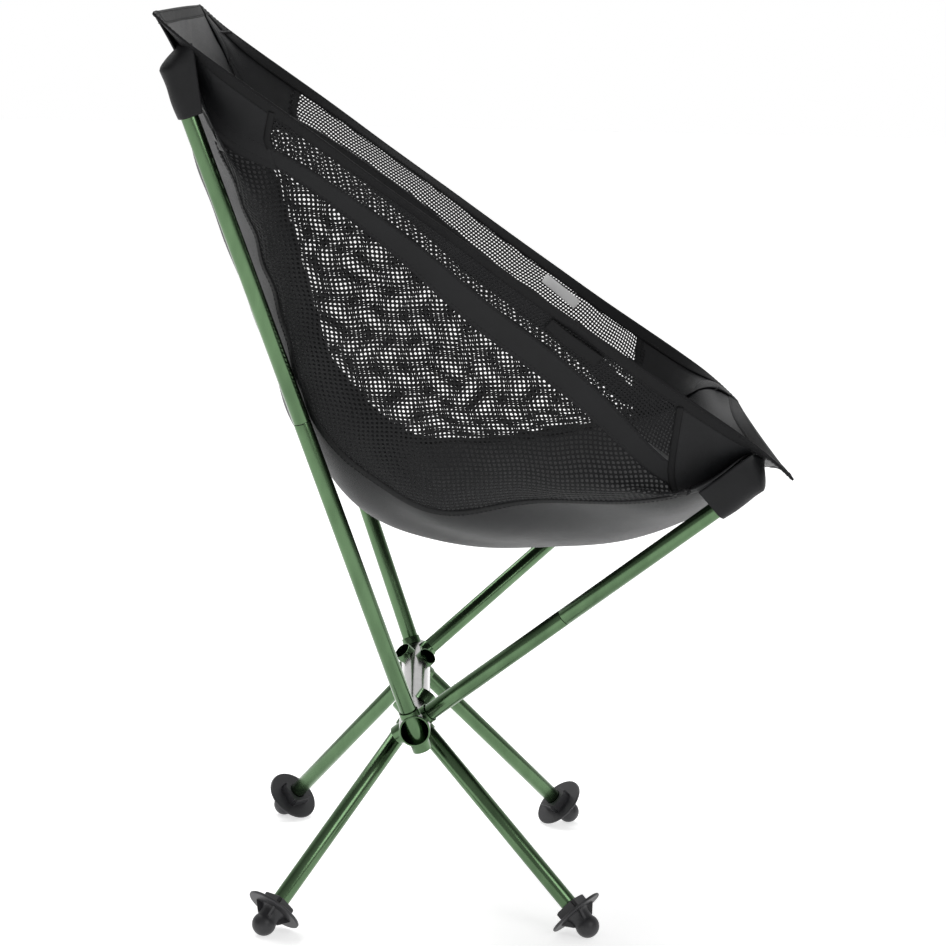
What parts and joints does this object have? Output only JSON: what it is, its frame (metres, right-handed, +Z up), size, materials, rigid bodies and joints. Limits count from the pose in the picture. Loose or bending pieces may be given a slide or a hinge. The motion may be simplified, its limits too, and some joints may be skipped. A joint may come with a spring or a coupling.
{
  "type": "ultralight backpacking chair",
  "caption": "Compact camping chair: crossed shock-corded tube frame on ball feet carrying a slung fabric and mesh bucket seat.",
  "frame": {"origin": "middle of the chair's footprint box, on the ground under the ball feet", "axes": "+Z up, -Y the way the sitter faces, -X the sitter's right"},
  "size_m": [0.4664, 0.4329, 0.6403],
  "materials": {
    "green_tube": "green anodised, satin gloss",
    "cross_tube_metal": "satin grey with green-tinted rims",
    "ferrule_metal": "plain drawn",
    "dark_plastic": "moulded, matte",
    "shock_cord": "braided sheath",
    "seat_fabric": "black ripstop, slight sheen",
    "seat_mesh": "black open mesh",
    "seat_binding": "black folded tape",
    "label": "blank woven label"
  },
  "bodies": {
    "hub": {"cross_tube": "cross_tube_metal", "socket_back_right": "green_tube", "socket_back_left": "green_tube", "socket_front_right": "green_tube", "socket_front_left": "green_tube", "socket_fore_right": "green_tube", "socket_fore_left": "green_tube", "socket_rear_right": "green_tube", "socket_rear_left": "green_tube", "leg_cord_fore_right": "shock_cord", "leg_cord_fore_left": "shock_cord", "leg_cord_rear_right": "shock_cord", "leg_cord_rear_left": "shock_cord", "pole_cord_back_right": "shock_cord", "pole_cord_back_left": "shock_cord", "pole_cord_front_right": "shock_cord", "pole_cord_front_left": "shock_cord"},
    "seat": {"centre_panel": "seat_fabric", "top_hem": "seat_binding", "front_hem": "seat_binding", "gear_loop": "seat_binding", "blank_tag": "label", "back_corner_patch_right": "seat_fabric", "back_corner_patch_left": "seat_fabric", "side_mesh_band_right": "seat_mesh", "side_mesh_band_left": "seat_mesh", "front_corner_patch_right": "seat_fabric", "front_corner_patch_left": "seat_fabric", "window_mesh_right": "seat_mesh", "window_mesh_left": "seat_mesh", "side_hem_right": "seat_binding", "side_hem_left": "seat_binding", "pocket_back_right": "seat_fabric", "pocket_back_left": "seat_fabric", "pocket_front_right": "seat_fabric", "pocket_front_left": "seat_fabric"},
    "fore_leg_right": {"leg_fore_right": "green_tube", "foot_fore_right": "dark_plastic"},
    "fore_leg_left": {"leg_fore_left": "green_tube", "foot_fore_left": "dark_plastic"},
    "rear_leg_right": {"leg_rear_right": "green_tube", "foot_rear_right": "dark_plastic"},
    "rear_leg_left": {"leg_rear_left": "green_tube", "foot_rear_left": "dark_plastic"},
    "lower_back_right": {"lower_pole_back_right": "green_tube"},
    "upper_back_right": {"upper_pole_back_right": "green_tube", "ferrule_back_right": "ferrule_metal", "end_cap_back_right": "dark_plastic"},
    "lower_back_left": {"lower_pole_back_left": "green_tube"},
    "upper_back_left": {"upper_pole_back_left": "green_tube", "ferrule_back_left": "ferrule_metal", "end_cap_back_left": "dark_plastic"},
    "lower_front_right": {"lower_pole_front_right": "green_tube"},
    "upper_front_right": {"upper_pole_front_right": "green_tube", "ferrule_front_right": "ferrule_metal", "end_cap_front_right": "dark_plastic"},
    "lower_front_left": {"lower_pole_front_left": "green_tube"},
    "upper_front_left": {"upper_pole_front_left": "green_tube", "ferrule_front_left": "ferrule_metal", "end_cap_front_left": "dark_plastic"}
  },
  "joints": [
    {"name": "seat_lift", "type": "slide", "parent": "hub", "child": "seat", "axis": [0, 0, 1], "range_m": [0, 0.1], "deforming": ["pocket_back_right", "pocket_back_left", "pocket_front_right", "pocket_front_left"]},
    {"name": "pull_fore_leg_right", "type": "slide", "parent": "hub", "child": "fore_leg_right", "axis": [-0.3481, -0.6411, -0.684], "range_m": [0, 0.03], "stiffness_N_per_m": 80, "springref_m": -0.05},
    {"name": "pull_fore_leg_left", "type": "slide", "parent": "hub", "child": "fore_leg_left", "axis": [0.3481, -0.6411, -0.684], "range_m": [0, 0.03], "stiffness_N_per_m": 80, "springref_m": -0.05},
    {"name": "pull_rear_leg_right", "type": "slide", "parent": "hub", "child": "rear_leg_right", "axis": [-0.4843, 0.5368, -0.6909], "range_m": [0, 0.03], "stiffness_N_per_m": 80, "springref_m": -0.05},
    {"name": "pull_rear_leg_left", "type": "slide", "parent": "hub", "child": "rear_leg_left", "axis": [0.4843, 0.5368, -0.6909], "range_m": [0, 0.03], "stiffness_N_per_m": 80, "springref_m": -0.05},
    {"name": "pull_lower_back_right", "type": "slide", "parent": "hub", "child": "lower_back_right", "axis": [-0.1899, 0.3348, 0.923], "range_m": [0, 0.032]},
    {"name": "pull_upper_back_right", "type": "slide", "parent": "lower_back_right", "child": "upper_back_right", "axis": [-0.1899, 0.3348, 0.923], "range_m": [0, 0.032]},
    {"name": "pull_lower_back_left", "type": "slide", "parent": "hub", "child": "lower_back_left", "axis": [0.1899, 0.3348, 0.923], "range_m": [0, 0.032]},
    {"name": "pull_upper_back_left", "type": "slide", "parent": "lower_back_left", "child": "upper_back_left", "axis": [0.1899, 0.3348, 0.923], "range_m": [0, 0.032]},
    {"name": "pull_lower_front_right", "type": "slide", "parent": "hub", "child": "lower_front_right", "axis": [-0.2962, -0.729, 0.6172], "range_m": [0, 0.032]},
    {"name": "pull_upper_front_right", "type": "slide", "parent": "lower_front_right", "child": "upper_front_right", "axis": [-0.2962, -0.729, 0.6172], "range_m": [0, 0.032]},
    {"name": "pull_lower_front_left", "type": "slide", "parent": "hub", "child": "lower_front_left", "axis": [0.2962, -0.729, 0.6172], "range_m": [0, 0.032]},
    {"name": "pull_upper_front_left", "type": "slide", "parent": "lower_front_left", "child": "upper_front_left", "axis": [0.2962, -0.729, 0.6172], "range_m": [0, 0.032]}
  ],
  "couplings": [
    {"joint": "pull_lower_back_right", "follows": "seat_lift", "ratio": 0.32},
    {"joint": "pull_upper_back_right", "follows": "seat_lift", "ratio": 0.32},
    {"joint": "pull_lower_back_left", "follows": "seat_lift", "ratio": 0.32},
    {"joint": "pull_upper_back_left", "follows": "seat_lift", "ratio": 0.32},
    {"joint": "pull_lower_front_right", "follows": "seat_lift", "ratio": 0.32},
    {"joint": "pull_upper_front_right", "follows": "seat_lift", "ratio": 0.32},
    {"joint": "pull_lower_front_left", "follows": "seat_lift", "ratio": 0.32},
    {"joint": "pull_upper_front_left", "follows": "seat_lift", "ratio": 0.32}
  ]
}
